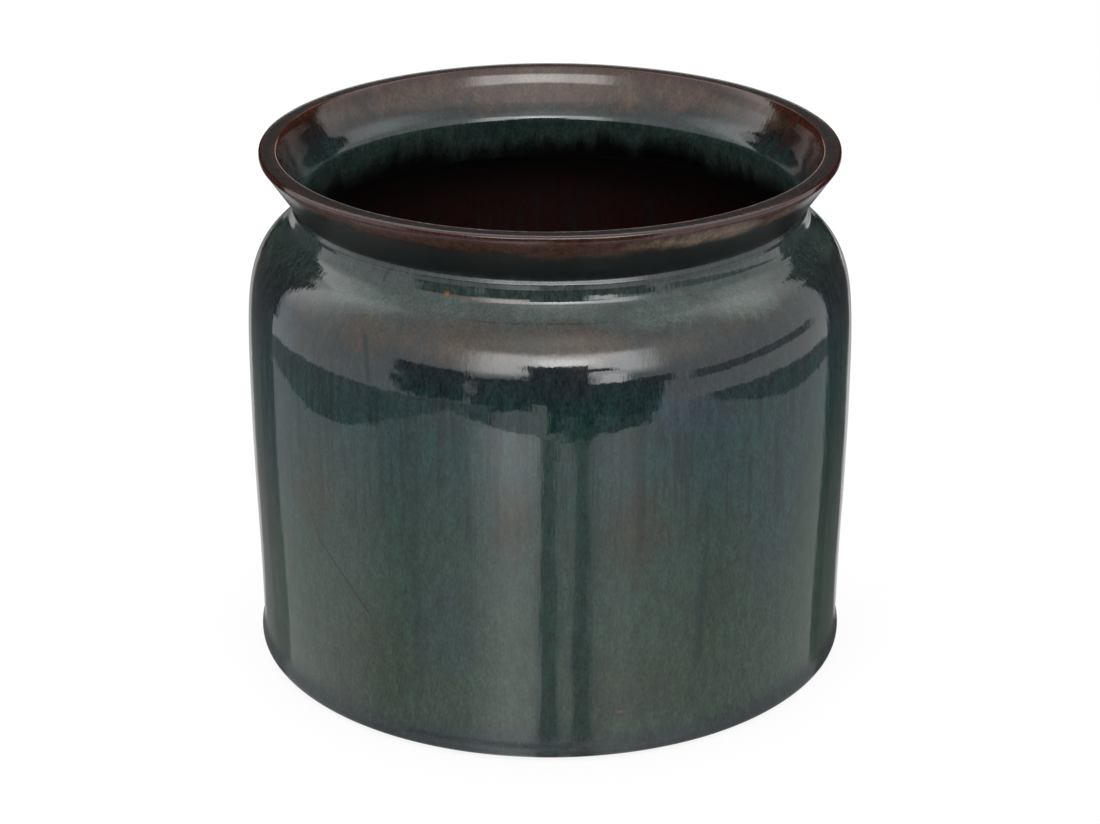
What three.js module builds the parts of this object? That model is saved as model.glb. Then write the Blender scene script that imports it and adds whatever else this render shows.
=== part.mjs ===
// A jar-shaped planter in glazed stoneware: one turned and fired body with a wide belly,
// a rounded shoulder, a short grooved neck and a flared rim with a flat top, standing on
// four felt pads that are stuck up inside its foot ring.
// Millimetres, +Z up. The origin is on the pot's axis, on the surface that the pads stand on.
import * as THREE from "three";

// ---- Driving dimensions ----------------------------------------------------------------

const turnSteps = 64;          // facets round the pot
const arcSag = 0.12;           // how far a facet may cut inside a rounded corner

// Foot: a rolled outer edge, a flat unglazed ring and a shallow recess inside it
const footRollRadius = 124.85; // widest point of the roll
const footRollCrown = 3.2;     // height of that widest point
const footRollRound = 2.6;     // rounding under the roll
const footRollHeight = 8.5;    // where the roll runs out into the wall
const footRingWidth = 11.5;    // flat ring that the kiln shelf held
const footRingRound = 1.2;     // inner edge of that ring
const recessDepth = 2.6;       // underside of the base above the foot ring
const recessFillet = 1.6;

// Body: a wall that swells a little from the foot to the belly
const wallRadius = 123.75;     // just above the foot roll
const bellyRadius = 125.4;
const bellyHeight = 104;

// Shoulder: one smooth curve from the belly in to the foot of the collar
const shoulderRise = 58;       // how far it leaves the belly upright
const shoulderReach = 23;      // how far it runs out level with its upper end
const shoulderTilt = 57;       // its upper end's normal above the horizontal, degrees
const collarFootRadius = 106.3;
const collarFootHeight = 183.2;

// Neck: a collar, with a groove at its foot and a thrown bead under the waist
const collarGrooveDepth = 0.45;
const collarGrooveWidth = 1.3;
const collarTopRadius = 105.25;
const collarTopHeight = 190.2;
const beadProud = 0.55;
const beadWidth = 2.2;
const waistRadius = 104.9;
const waistHeight = 193.8;
const neckRound = 0.5;

// Rim: a cone that flares out to a flat top
const lipRadius = 118;
const lipUnderHeight = 213.1;
const rimHeight = 215.6;
const landWidth = 7;           // the flat top, from its outer to its inner edge
const landRound = 0.9;
const throatRadius = 99.4;     // narrowest point inside
const throatHeight = 195.4;
const throatRound = 7;

// Inside
const wallThickness = 7;
const floorThickness = 7;
const floorFillet = 13;

// Pads
const padCount = 4;
const padRadius = 8;
const padEdge = 0.4;           // soft edge of the felt
const padStandOff = 0.8;       // how far the pads reach below the foot ring
const padSeatGap = 0.3;        // glue line between a pad and the recess
const padFootGap = 3.5;        // between a pad and the foot ring's flank
const padSteps = 20;           // facets round a pad

// ---- Sizes that follow from them --------------------------------------------------------

const footRingInner = footRollRadius - footRollRound - footRingWidth;
const floorHeight = recessDepth + floorThickness;
const padPitchRadius = footRingInner - padFootGap - padRadius;
const padThickness = padStandOff + recessDepth - padSeatGap;

// ---- Finishes --------------------------------------------------------------------------

const glaze = new THREE.MeshStandardMaterial({ color: 0x46544f, roughness: 0.14, metalness: 0 });
const felt = new THREE.MeshStandardMaterial({ color: 0x4b4039, roughness: 0.95, metalness: 0 });

// ---- Outlines in (radius, height) ------------------------------------------------------

const at = (radius, height, round = 0) => ({ point: new THREE.Vector2(radius, height), round });

// A cubic from start to end, both given as corners, drawn through two handles.
function sweep(start, startHandle, endHandle, end, steps) {
  const curve = new THREE.CubicBezierCurve(start.point, startHandle, endHandle, end.point);
  return curve.getPoints(steps).map((point) => ({ point, round: 0 }));
}

// A curve that leaves one corner upright and arrives at the next one upright.
function uprightSweep(start, end, steps) {
  const third = (end.point.y - start.point.y) / 3;
  const startHandle = start.point.clone().setY(start.point.y + third);
  const endHandle = end.point.clone().setY(end.point.y - third);
  return sweep(start, startHandle, endHandle, end, steps);
}

// The arc that rounds a corner off, tangent to the runs back to one neighbour and ahead to
// the other. It takes up to half of a run that ends in another rounded corner.
function roundedCorner(corner, before, after) {
  const back = before.point.clone().sub(corner.point);
  const ahead = after.point.clone().sub(corner.point);
  const backRoom = back.length() * (before.round ? 0.5 : 0.95);
  const aheadRoom = ahead.length() * (after.round ? 0.5 : 0.95);
  const turn = Math.PI - Math.acos(back.normalize().dot(ahead.normalize()));
  const reach = Math.min(corner.round * Math.tan(turn / 2), backRoom, aheadRoom);
  const radius = reach / Math.tan(turn / 2);
  const inward = back.clone().add(ahead).normalize();
  const centre = corner.point.clone().addScaledVector(inward, radius / Math.cos(turn / 2));
  const first = corner.point.clone().addScaledVector(back, reach).sub(centre);
  const last = corner.point.clone().addScaledVector(ahead, reach).sub(centre);
  const steps = Math.max(2, Math.ceil(turn / (2 * Math.acos(1 - arcSag / (radius + arcSag)))));
  return Array.from({ length: steps + 1 }, (_, k) => {
    const angle = (Math.sign(first.cross(last)) * turn * k) / steps;
    return first.clone().rotateAround(new THREE.Vector2(), angle).add(centre);
  });
}

function roundCorners(corners) {
  return corners.flatMap((corner, i) => (corner.round
    ? roundedCorner(corner, corners[i - 1], corners[i + 1]) : [corner.point]));
}

// ---- Body ------------------------------------------------------------------------------

// The shoulder's curve from the belly to the neck, moved inwards by inset for the inside.
function shoulder(inset, steps) {
  const tilt = THREE.MathUtils.degToRad(shoulderTilt);
  const outward = new THREE.Vector2(Math.cos(tilt), Math.sin(tilt));
  const downhill = new THREE.Vector2(Math.sin(tilt), -Math.cos(tilt));
  const belly = at(bellyRadius - inset, bellyHeight);
  const neck = at(collarFootRadius, collarFootHeight);
  neck.point.addScaledVector(outward, -inset);
  const bellyHandle = belly.point.clone().setY(bellyHeight + shoulderRise - inset);
  const neckHandle = neck.point.clone().addScaledVector(downhill, shoulderReach - inset);
  return sweep(belly, bellyHandle, neckHandle, neck, steps);
}

function footOutline() {
  const roll = at(footRollRadius, footRollCrown);
  return [
    at(0, recessDepth),
    at(footRingInner, recessDepth, recessFillet),
    at(footRingInner, 0, footRingRound),
    at(footRollRadius, 0, footRollRound),
    ...uprightSweep(roll, at(wallRadius, footRollHeight), 3),
  ];
}

// Up the outside, from the wall above the foot roll to the waist under the rim.
function outsideOutline() {
  const wall = uprightSweep(at(wallRadius, footRollHeight), at(bellyRadius, bellyHeight), 5);
  const grooveRadius = collarFootRadius - collarGrooveDepth;
  const beadTop = waistHeight - neckRound;
  const beadFoot = beadTop - beadWidth;
  return [
    ...wall.slice(1),
    ...shoulder(0, 11).slice(1),
    at(grooveRadius, collarFootHeight + collarGrooveWidth / 2, neckRound),
    at(collarFootRadius, collarFootHeight + collarGrooveWidth, neckRound),
    at(collarTopRadius, Math.min(collarTopHeight, beadFoot - neckRound), neckRound),
    at(collarTopRadius + beadProud, (beadFoot + beadTop) / 2, neckRound * 2),
    at(waistRadius, waistHeight, neckRound),
  ];
}

// Over the rim and down the funnel to the throat.
function rimOutline() {
  return [
    at(lipRadius, lipUnderHeight, landRound),
    at(lipRadius, rimHeight, landRound),
    at(lipRadius - landWidth, rimHeight, landRound),
    at(throatRadius, throatHeight, throatRound),
  ];
}

// Down the inside: under the shoulder, down the wall, and in across the floor to the axis.
function wellOutline() {
  const innerWall = uprightSweep(
    at(wallRadius - wallThickness, floorHeight + floorFillet),
    at(bellyRadius - wallThickness, bellyHeight), 3).reverse();
  return [
    ...shoulder(wallThickness, 8).reverse(),
    ...innerWall.slice(1, -1),
    at(wallRadius - wallThickness, floorHeight, floorFillet),
    at(0, floorHeight),
  ];
}

function makePot() {
  const outline = [...footOutline(), ...outsideOutline(), ...rimOutline(), ...wellOutline()];
  const body = new THREE.Mesh(
    new THREE.LatheGeometry(roundCorners(outline), turnSteps).rotateX(Math.PI / 2), glaze);
  body.name = "pot_body";
  body.position.z = padStandOff;
  return body;
}

// ---- Pads ------------------------------------------------------------------------------

function makePads() {
  const outline = roundCorners([
    at(0, 0),
    at(padRadius, 0, padEdge),
    at(padRadius, padThickness, padEdge),
    at(0, padThickness),
  ]);
  const pads = new THREE.Group();
  for (let i = 0; i < padCount; i += 1) {
    const angle = ((i + 0.5) * 2 * Math.PI) / padCount;
    const pad = new THREE.Mesh(
      new THREE.LatheGeometry(outline, padSteps).rotateX(Math.PI / 2), felt);
    pad.name = `felt_pad_${i + 1}`;
    pad.position.set(padPitchRadius * Math.cos(angle), padPitchRadius * Math.sin(angle), 0);
    pads.add(pad);
  }
  return pads;
}

const planter = new THREE.Group();
planter.add(makePot(), makePads());

export default planter;
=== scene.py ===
import math
from typing import NamedTuple

import bpy
import numpy as np
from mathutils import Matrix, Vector, noise


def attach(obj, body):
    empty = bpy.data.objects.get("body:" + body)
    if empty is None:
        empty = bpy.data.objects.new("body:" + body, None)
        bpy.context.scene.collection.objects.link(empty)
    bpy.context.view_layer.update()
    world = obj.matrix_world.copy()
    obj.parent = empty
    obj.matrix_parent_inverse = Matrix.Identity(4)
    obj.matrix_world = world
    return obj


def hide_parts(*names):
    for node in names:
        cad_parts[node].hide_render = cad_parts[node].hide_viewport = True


# A jar-shaped planter in glazed stoneware. The body is one turned piece under a dark reactive
# glaze that breaks to iron brown on its edges, and it stands on four felt pads in its foot
# ring. Metres, +Z up, the front towards -Y. Outlines are in millimetres until they are turned.

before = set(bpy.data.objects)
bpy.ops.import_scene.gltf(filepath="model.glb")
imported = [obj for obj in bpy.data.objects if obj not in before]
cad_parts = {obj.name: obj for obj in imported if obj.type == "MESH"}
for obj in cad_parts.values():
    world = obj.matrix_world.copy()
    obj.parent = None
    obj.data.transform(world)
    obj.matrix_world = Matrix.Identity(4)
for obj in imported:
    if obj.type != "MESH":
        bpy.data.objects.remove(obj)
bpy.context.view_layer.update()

MM = 0.001

# ---- Sizes of the turned body, in millimetres above its foot ring ------------------------

STAND_OFF = 0.8           # the pads hold the foot ring this far off the table

FOOT_ROLL_RADIUS = 124.85
FOOT_ROLL_CROWN = 3.2
FOOT_ROLL_ROUND = 2.6
FOOT_ROLL_HEIGHT = 8.5
FOOT_RING_WIDTH = 11.5
FOOT_RING_ROUND = 1.2
RECESS_DEPTH = 2.6
RECESS_FILLET = 1.6

WALL_RADIUS = 123.75
BELLY_RADIUS = 125.4
BELLY_HEIGHT = 104

SHOULDER_RISE = 58
SHOULDER_REACH = 23
SHOULDER_TILT = math.radians(57)
COLLAR_FOOT_RADIUS = 106.3
COLLAR_FOOT_HEIGHT = 183.2

COLLAR_LOWER_RADIUS = 106.0       # the glaze fills the corner under the collar
COLLAR_LOWER_HEIGHT = 184.9
COLLAR_LOWER_ROUND = 6
COLLAR_TOP_RADIUS = 105.25
COLLAR_TOP_HEIGHT = 190.2
BEAD_PROUD = 0.55
BEAD_WIDTH = 2.2
WAIST_RADIUS = 104.9
WAIST_HEIGHT = 193.8
NECK_ROUND = 0.5

LIP_RADIUS = 118
LIP_UNDER_HEIGHT = 213.1
RIM_HEIGHT = 215.6
LAND_WIDTH = 7
LAND_ROUND = 0.9
FUNNEL_BREAKS = (         # the funnel runs down steeply at first: radius, height, rounding
    (109.6, 212.9, 10), (108.2, 209.0, 12), (104.6, 201.8, 14),
)
THROAT_RADIUS = 99.4
THROAT_HEIGHT = 195.4
THROAT_ROUND = 7

WALL_THICKNESS = 7
FLOOR_THICKNESS = 7
FLOOR_FILLET = 13

TURN_STEPS = 360          # facets round the pot
FOOT_STEPS = 6            # facets up the foot roll, the wall and the shoulder
WALL_STEPS = 40
SHOULDER_STEPS = 46
SHOULDER_HIDDEN_STEPS = 4     # its last ones lie under the glaze in the collar's corner
WELL_WALL_STEPS = 8
WELL_SHOULDER_STEPS = 24
ARC_STEPS = 4             # least facets in a rounded corner
SEAM_GAP = 0.02           # points closer than this are one
ROUND_SAG = 0.02          # how far a facet may cut inside a rounded corner
SHOWN_RING_GAP = 2.4      # between rings where the glaze is looked at
HIDDEN_RING_GAP = 9       # between rings in the well and underneath


# ---- Modelling helpers --------------------------------------------------------------------

def only(piece):
    """Selects one piece and nothing else."""
    bpy.ops.object.select_all(action="DESELECT")
    piece.select_set(True)
    bpy.context.view_layer.objects.active = piece


def applied(piece, kind, **settings):
    """Finishes a piece with a modifier and applies it."""
    only(piece)
    modifier = piece.modifiers.new(kind.lower(), kind)
    for option, choice in settings.items():
        setattr(modifier, option, choice)
    bpy.ops.object.modifier_apply(modifier=modifier.name)


# ---- The outline of the turned body, in (radius, height) ----------------------------------

class Corner(NamedTuple):
    radius: float
    height: float
    rounding: float = 0
    mark: str = ""


def sweep(start, start_handle, end_handle, end, steps):
    """A cubic from start to end, drawn through two handles."""
    corners = []
    for step in range(steps + 1):
        t = step / steps
        shares = ((1 - t) ** 3, 3 * t * (1 - t) ** 2, 3 * t * t * (1 - t), t ** 3)
        ends = (start, start_handle, end_handle, end)
        corners.append(Corner(sum(s * p[0] for s, p in zip(shares, ends)),
                              sum(s * p[1] for s, p in zip(shares, ends))))
    return corners


def upright_sweep(start, end, steps):
    """A curve that leaves one corner upright and arrives at the next one upright."""
    third = (end[1] - start[1]) / 3
    return sweep(start, (start[0], start[1] + third), (end[0], end[1] - third), end, steps)


def rounded_corner(corner, before, after):
    """The arc that rounds a corner off, tangent to the runs back and ahead of it."""
    here = Vector(corner[:2])
    back, ahead = Vector(before[:2]) - here, Vector(after[:2]) - here
    back_room = back.length * (0.5 if before.rounding else 0.95)
    ahead_room = ahead.length * (0.5 if after.rounding else 0.95)
    back.normalize()
    ahead.normalize()
    turn = math.pi - back.angle(ahead)
    reach = min(corner.rounding * math.tan(turn / 2), back_room, ahead_room)
    radius = reach / math.tan(turn / 2)
    inward = (back + ahead).normalized()
    centre = here + inward * radius / math.cos(turn / 2)
    first = here + back * reach - centre
    last = here + ahead * reach - centre
    way = math.copysign(1, first.x * last.y - first.y * last.x)
    steps = max(ARC_STEPS, math.ceil(turn / (2 * math.acos(1 - ROUND_SAG / (radius + ROUND_SAG)))))
    arc = []
    for step in range(steps + 1):
        angle = way * turn * step / steps
        point = centre + Vector((first.x * math.cos(angle) - first.y * math.sin(angle),
                                 first.x * math.sin(angle) + first.y * math.cos(angle)))
        arc.append(Corner(point.x, point.y, 0, corner.mark if step == steps // 2 else ""))
    return arc


def shoulder(inset, steps):
    """The curve from the belly to the neck, moved inwards by inset for the well."""
    outward = Vector((math.cos(SHOULDER_TILT), math.sin(SHOULDER_TILT)))
    downhill = Vector((math.sin(SHOULDER_TILT), -math.cos(SHOULDER_TILT)))
    belly = Vector((BELLY_RADIUS - inset, BELLY_HEIGHT))
    neck = Vector((COLLAR_FOOT_RADIUS, COLLAR_FOOT_HEIGHT)) - outward * inset
    belly_handle = Vector((belly.x, BELLY_HEIGHT + SHOULDER_RISE - inset))
    return sweep(belly, belly_handle, neck + downhill * (SHOULDER_REACH - inset), neck, steps)


def body_outline():
    """Every corner from under the base, up the outside, over the rim and down to the floor."""
    ring_inner = FOOT_ROLL_RADIUS - FOOT_ROLL_ROUND - FOOT_RING_WIDTH
    floor = RECESS_DEPTH + FLOOR_THICKNESS
    inner_wall = WALL_RADIUS - WALL_THICKNESS
    bead_top = WAIST_HEIGHT - NECK_ROUND
    bead_foot = bead_top - BEAD_WIDTH
    foot = [
        Corner(0, RECESS_DEPTH),
        Corner(ring_inner, RECESS_DEPTH, RECESS_FILLET),
        Corner(ring_inner, 0, FOOT_RING_ROUND, "ring_inner"),
        Corner(FOOT_ROLL_RADIUS, 0, FOOT_ROLL_ROUND, "foot"),
        *upright_sweep((FOOT_ROLL_RADIUS, FOOT_ROLL_CROWN), (WALL_RADIUS, FOOT_ROLL_HEIGHT),
                       FOOT_STEPS),
    ]
    outside = [
        *upright_sweep((WALL_RADIUS, FOOT_ROLL_HEIGHT), (BELLY_RADIUS, BELLY_HEIGHT),
                       WALL_STEPS)[1:],
        *shoulder(0, SHOULDER_STEPS)[1:-SHOULDER_HIDDEN_STEPS],
        Corner(COLLAR_LOWER_RADIUS, COLLAR_LOWER_HEIGHT, COLLAR_LOWER_ROUND, "collar_foot"),
        Corner(COLLAR_TOP_RADIUS, min(COLLAR_TOP_HEIGHT, bead_foot - NECK_ROUND), NECK_ROUND,
               "collar_top"),
        Corner(COLLAR_TOP_RADIUS + BEAD_PROUD, (bead_foot + bead_top) / 2, NECK_ROUND * 3, "bead"),
        Corner(WAIST_RADIUS, WAIST_HEIGHT, NECK_ROUND, "waist"),
    ]
    rim = [
        Corner(LIP_RADIUS, LIP_UNDER_HEIGHT, LAND_ROUND, "lip"),
        Corner(LIP_RADIUS, RIM_HEIGHT, LAND_ROUND, "land_outer"),
        Corner(LIP_RADIUS - LAND_WIDTH, RIM_HEIGHT, LAND_ROUND, "land_inner"),
        *(Corner(*bend) for bend in FUNNEL_BREAKS),
        Corner(THROAT_RADIUS, THROAT_HEIGHT, THROAT_ROUND, "throat"),
    ]
    well = [
        *shoulder(WALL_THICKNESS, WELL_SHOULDER_STEPS)[::-1],
        *upright_sweep((inner_wall, floor + FLOOR_FILLET),
                       (BELLY_RADIUS - WALL_THICKNESS, BELLY_HEIGHT),
                       WELL_WALL_STEPS)[-2:0:-1],
        Corner(inner_wall, floor, FLOOR_FILLET, "well_floor"),
        Corner(0, floor),
    ]
    return foot + outside + rim + well


def turned_outline():
    """The outline with its corners rounded and its long runs filled in, how far along it each
    point is, and how far along it each named place is."""
    corners = body_outline()
    points = []
    for i, corner in enumerate(corners):
        points += (rounded_corner(corner, corners[i - 1], corners[i + 1])
                   if corner.rounding else [corner])
    shown = False
    filled, along, marks = [points[0]], [0.0], {}
    for before, point in zip(points, points[1:]):
        shown = (shown or point.mark == "foot") and point.mark != "throat"
        run = math.dist(before[:2], point[:2])
        pieces = max(1, math.ceil(run / (SHOWN_RING_GAP if shown else HIDDEN_RING_GAP)))
        start = along[-1]
        for piece in range(1, pieces + 1):
            share = piece / pieces
            filled.append(Corner(before[0] + (point[0] - before[0]) * share,
                                 before[1] + (point[1] - before[1]) * share))
            along.append(start + run * share)
        if point.mark:
            marks[point.mark] = along[-1]
    return filled, along, marks


OUTLINE, ALONG, MARKS = turned_outline()


# ---- The turned body ----------------------------------------------------------------------

def turn_body():
    """Draws the outline one point at a time, from a plane merged to a point, and turns it."""
    bpy.ops.object.select_all(action="DESELECT")
    bpy.ops.mesh.primitive_plane_add(size=MM)
    pot = bpy.context.object
    pot.name = pot.data.name = "glazed_pot"
    bpy.ops.object.mode_set(mode="EDIT")
    bpy.ops.mesh.select_all(action="SELECT")
    bpy.ops.mesh.merge(type="CENTER")
    here = Vector((0, 0, 0))
    for i, corner in enumerate(OUTLINE):
        there = Vector((corner.radius, 0, corner.height + STAND_OFF)) * MM
        if i == 0:
            bpy.ops.transform.translate(value=there - here)
        else:
            bpy.ops.mesh.extrude_region_move(TRANSFORM_OT_translate={"value": there - here})
        here = there
    bpy.ops.object.mode_set(mode="OBJECT")
    far = pot.data.attributes.new("along", "FLOAT", "POINT")
    far.data.foreach_set("value", np.array(ALONG) * MM)
    applied(pot, "SCREW", axis="Z", angle=2 * math.pi, steps=TURN_STEPS, render_steps=TURN_STEPS,
            use_merge_vertices=True, merge_threshold=SEAM_GAP * MM)
    bpy.ops.object.mode_set(mode="EDIT")
    bpy.ops.mesh.select_all(action="SELECT")
    bpy.ops.mesh.remove_doubles(threshold=SEAM_GAP * MM)
    bpy.ops.mesh.normals_make_consistent(inside=False)
    bpy.ops.object.mode_set(mode="OBJECT")
    bpy.ops.object.shade_smooth()
    return pot


# Relief of the glaze and the clay under it, in millimetres
UNEVENNESS = 0.16
THROWING_LINE = 0.03
RIVULET = 0.05
RUN_RELIEF = 0.16
RELIEF_STARTS = (4, 12)       # past the foot, and it ends before the foot of the collar
RELIEF_ENDS = (22, 6)
FIELD_LEAST = 0.002           # no point moves where a field is weaker than this


class Run(NamedTuple):
    """A run of glaze down the wall. Turns are degrees right of the front, heights and widths
    are millimetres."""
    turn: float
    top: float
    foot: float
    width: float
    body: float           # how thick and dark it is, from 0 to 1


RUNS = (
    Run(-0.5, 158, 7, 8.4, 1.0), Run(5.8, 156, 7, 7.4, 0.9), Run(2.6, 152, 128, 3.0, 0.6),
    Run(-24.5, 150, 14, 4.6, 0.45), Run(-31.5, 148, 96, 3.2, 0.55), Run(-14.0, 150, 92, 2.6, 0.6),
    Run(-19.0, 150, 112, 2.4, 0.6), Run(-10.5, 146, 124, 2.0, 0.5), Run(28.3, 147, 36, 3.6, 0.6),
    Run(15.0, 100, 44, 2.4, 0.35), Run(-47.0, 140, 70, 3.0, 0.4), Run(46.0, 150, 88, 2.6, 0.4),
    Run(64.0, 152, 20, 4.4, 0.6), Run(73.0, 150, 74, 3.0, 0.6), Run(84.0, 148, 12, 5.4, 0.8),
    Run(97.0, 146, 104, 2.6, 0.5), Run(112.0, 152, 40, 4.2, 0.6), Run(121.0, 150, 8, 5.8, 0.9),
    Run(127.0, 151, 60, 3.6, 0.7), Run(146.0, 150, 92, 3.0, 0.5), Run(158.0, 154, 26, 4.8, 0.7),
    Run(176.0, 152, 8, 6.0, 0.9), Run(183.0, 150, 52, 3.8, 0.7), Run(199.0, 148, 98, 2.8, 0.5),
    Run(214.0, 151, 18, 5.0, 0.75), Run(223.0, 150, 84, 3.2, 0.6), Run(239.0, 152, 8, 5.6, 0.85),
    Run(251.0, 148, 70, 3.0, 0.5), Run(268.0, 150, 34, 4.4, 0.65), Run(281.0, 152, 102, 2.8, 0.5),
    Run(292.0, 148, 12, 4.6, 0.6),
)


RUN_SWAY = ((0.405, 13, 1.7), (0.27, 5.3, 2.9))    # reach, wave and shift from run to run
RUN_FULLNESS = 0.56           # share of its width that a run fills
RUN_START = 26                # how far below its top a run has its full depth
RUN_BEAD = 0.3                # how much wider a run gets where it ends
RUN_BEAD_HEIGHT = 3
RUN_BEAD_SIZE = 5


def smooth_step(low, high, value):
    """0 up to low, 1 from high on, and smooth between them."""
    share = np.clip((value - low) / (high - low), 0, 1)
    return share * share * (3 - 2 * share)


def turn_between(start, turns):
    """How far each turn is to the right of the start, from -180 to 180 degrees."""
    return (turns - start + 180) % 360 - 180


class Surface:
    """Where every point of the turned body is: its turn from the front, its height above the
    foot ring and how far along the outline it is, in degrees and millimetres."""

    def __init__(self, pot):
        count = len(pot.data.vertices)
        self.places = np.empty(count * 3)
        pot.data.vertices.foreach_get("co", self.places)
        self.places = self.places.reshape(-1, 3) / MM
        self.along = np.empty(count)
        pot.data.attributes["along"].data.foreach_get("value", self.along)
        self.along /= MM
        self.turn = np.degrees(np.arctan2(self.places[:, 0], -self.places[:, 1]))
        self.height = self.places[:, 2] - STAND_OFF

    def outside(self):
        """1 on the outer wall and shoulder, 0 on the foot, above the neck and inside."""
        starts = [MARKS["foot"] + past for past in RELIEF_STARTS]
        ends = [MARKS["collar_foot"] - before for before in RELIEF_ENDS]
        return smooth_step(*starts, self.along) * (1 - smooth_step(*ends, self.along))

    def wander(self, across, up, seed):
        """Smooth noise from -1 to 1, across mm wide and up mm tall."""
        scale = Vector((1 / across, 1 / across, 1 / up))
        shift = Vector((seed * 17.3, seed * 5.1, seed * 9.7))
        return np.array([noise.noise(Vector(place) * scale + shift) for place in self.places])


def run_field(surface):
    """How thick the glaze stands in its runs, from 0 to 1."""
    field = np.zeros(len(surface.turn))
    heights = surface.height
    ragged = 1.1 * surface.wander(5, 9, 21) + 0.7 * surface.wander(2.6, 4, 22)
    thinned = 1 - 0.45 * smooth_step(0.0, 0.6, surface.wander(7, 22, 23))
    for i, run in enumerate(RUNS):
        sway = sum(reach * np.sin(heights / wave + i * shift) for reach, wave, shift in RUN_SWAY)
        off = np.radians(turn_between(run.turn, surface.turn)) * BELLY_RADIUS - sway + ragged
        swell = 1 + 0.22 * np.sin(heights / 8.1 + i * 2.3)
        swell += RUN_BEAD * np.exp(-((heights - run.foot - RUN_BEAD_HEIGHT) / RUN_BEAD_SIZE) ** 2)
        ridge = np.exp(-np.abs(off / (run.width * RUN_FULLNESS * swell)) ** 3)
        reach = (smooth_step(run.foot - 2, run.foot + 3, heights)
                 * (1 - smooth_step(run.top - RUN_START, run.top, heights)))
        field = np.maximum(field, run.body * ridge * reach)
    return field * thinned * surface.outside()


class Stain(NamedTuple):
    """A cloud of another colour in the glaze. The turn is degrees right of the front, and the
    rest is millimetres: its height, and half its size across and up."""
    turn: float
    height: float
    across: float
    up: float
    strength: float


class Tint(NamedTuple):
    """Stains of one colour, between two named places on the outline."""
    colour: tuple
    first: str
    last: str
    stains: tuple


TINTS = {
    "brown": Tint((0.052, 0.036, 0.022), "foot", "land_outer", (
        Stain(-14, 171, 34, 8, 0.9), Stain(4, 173, 26, 7, 1.0), Stain(22, 169, 14, 5, 0.4),
        Stain(-36, 171, 18, 7, 0.6), Stain(38, 174, 16, 5, 0.3), Stain(96, 170, 30, 8, 0.8),
        Stain(131, 170, 36, 8, 0.8), Stain(186, 171, 46, 8, 0.9), Stain(232, 168, 38, 9, 0.8),
        Stain(266, 170, 30, 8, 0.8),
    )),
    "olive": Tint((0.024, 0.028, 0.018), "foot", "land_outer", (
        Stain(-6.5, 102, 8, 16, 1.0), Stain(15.5, 97, 13, 19, 0.9), Stain(-48, 96, 12, 24, 0.6),
        Stain(14, 26, 34, 18, 0.5), Stain(-38, 34, 30, 26, 0.5), Stain(30, 60, 16, 22, 0.4),
        Stain(104, 92, 16, 22, 0.8), Stain(150, 60, 14, 30, 0.7), Stain(176, 104, 12, 18, 0.8),
        Stain(207, 40, 28, 20, 0.5), Stain(246, 100, 15, 24, 0.8), Stain(288, 70, 16, 26, 0.7),
    )),
    "blue": Tint((0.013, 0.036, 0.05), "foot", "land_outer", (
        Stain(46, 92, 18, 48, 0.5), Stain(30, 120, 14, 18, 0.4), Stain(-19, 56, 16, 26, 0.4),
        Stain(-58, 160, 12, 10, 0.7), Stain(26, 142, 22, 10, 0.8), Stain(62, 150, 14, 22, 0.5),
        Stain(-2, 128, 12, 14, 0.2), Stain(92, 60, 22, 40, 0.6), Stain(118, 120, 20, 24, 0.5),
        Stain(160, 110, 22, 40, 0.6), Stain(196, 70, 18, 36, 0.5), Stain(220, 126, 20, 20, 0.5),
        Stain(258, 54, 22, 36, 0.6), Stain(300, 112, 20, 30, 0.5),
    )),
    "pale": Tint((0.056, 0.09, 0.074), "foot", "land_outer", (
        Stain(22, 180, 24, 4.5, 0.8), Stain(42, 178, 22, 6, 0.8), Stain(-40, 180, 26, 4, 0.7),
        Stain(0, 182.5, 34, 3, 0.7), Stain(-20, 182, 20, 3, 0.6), Stain(82, 179, 22, 5, 0.6),
        Stain(110, 180, 26, 4, 0.7), Stain(140, 180, 24, 5, 0.7), Stain(170, 179, 20, 5, 0.7),
        Stain(205, 180, 26, 4, 0.7), Stain(240, 180, 24, 5, 0.8), Stain(272, 179, 22, 5, 0.7),
    )),
    "rust": Tint((0.046, 0.022, 0.015), "foot", "land_outer", (
        Stain(8, 209.5, 50, 4.2, 1.0), Stain(44, 209.5, 26, 3.6, 0.9), Stain(-24, 211, 26, 2, 0.5),
        Stain(-60, 211, 14, 2, 0.6), Stain(90, 210, 34, 3, 0.9), Stain(140, 210, 34, 3.6, 0.9),
        Stain(190, 211, 30, 2.4, 0.8), Stain(232, 209.5, 40, 4, 0.9), Stain(276, 210.5, 24, 3, 0.7),
    )),
    # The umber tint is partly the funnel's own iron colour and partly a painted sheen: it is widest
    # and strongest at the back of the funnel, where it faces the front lights.
    "umber_and_sheen": Tint((0.1, 0.062, 0.042), "land_inner", "throat", (
        Stain(178, 207, 70, 8, 1.0), Stain(146, 208, 34, 6, 0.9), Stain(214, 208, 36, 6, 0.9),
        Stain(236, 209, 22, 4, 0.6), Stain(122, 209, 22, 4, 0.6), Stain(70, 207, 40, 6, 0.8),
        Stain(20, 208, 50, 6, 0.8), Stain(300, 207, 50, 6, 0.8),
    )),
    "tan": Tint((0.13, 0.1, 0.074), "foot", "land_outer", (
        Stain(30, 209.5, 32, 3, 1.0), Stain(52, 210, 14, 2.4, 0.6), Stain(88, 210.5, 22, 2, 0.7),
        Stain(126, 209.5, 26, 2.6, 0.9), Stain(168, 211, 18, 1.6, 0.6),
        Stain(204, 209.5, 28, 2.6, 0.9), Stain(252, 210.5, 20, 2, 0.7),
    )),
}


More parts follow.
